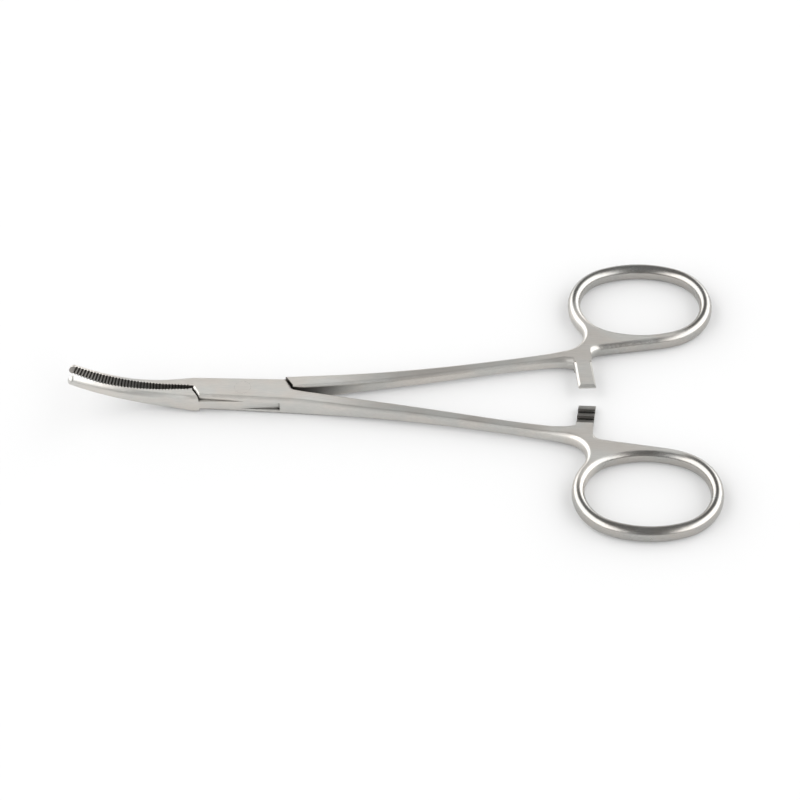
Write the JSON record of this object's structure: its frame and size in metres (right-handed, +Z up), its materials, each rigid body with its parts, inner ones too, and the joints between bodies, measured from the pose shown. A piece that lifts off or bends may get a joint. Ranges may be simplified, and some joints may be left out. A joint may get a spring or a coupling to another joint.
{
  "type": "hemostat forceps",
  "caption": "Slim locking forceps of satin steel with upward-curved serrated jaws, a riveted box lock, tapered shanks, toothed ratchet bars and oval finger rings.",
  "frame": {"origin": "on the pivot's axis, in the plane of the box lock's underside", "axes": "+X from the jaws towards the finger rings, +Z up along the pivot, the way the jaws curve"},
  "size_m": [0.1241, 0.0708, 0.0084],
  "materials": {
    "steel": "satin"
  },
  "bodies": {
    "box_half": {"box_half": "steel", "pivot_rivet": "steel"},
    "tongue_half": {"tongue_half": "steel"}
  },
  "joints": [
    {"name": "box_lock", "type": "hinge", "parent": "box_half", "child": "tongue_half", "pos_m": [0, 0, 0], "axis": [0, 0, 1], "range_deg": [-4.3, 60]}
  ]
}
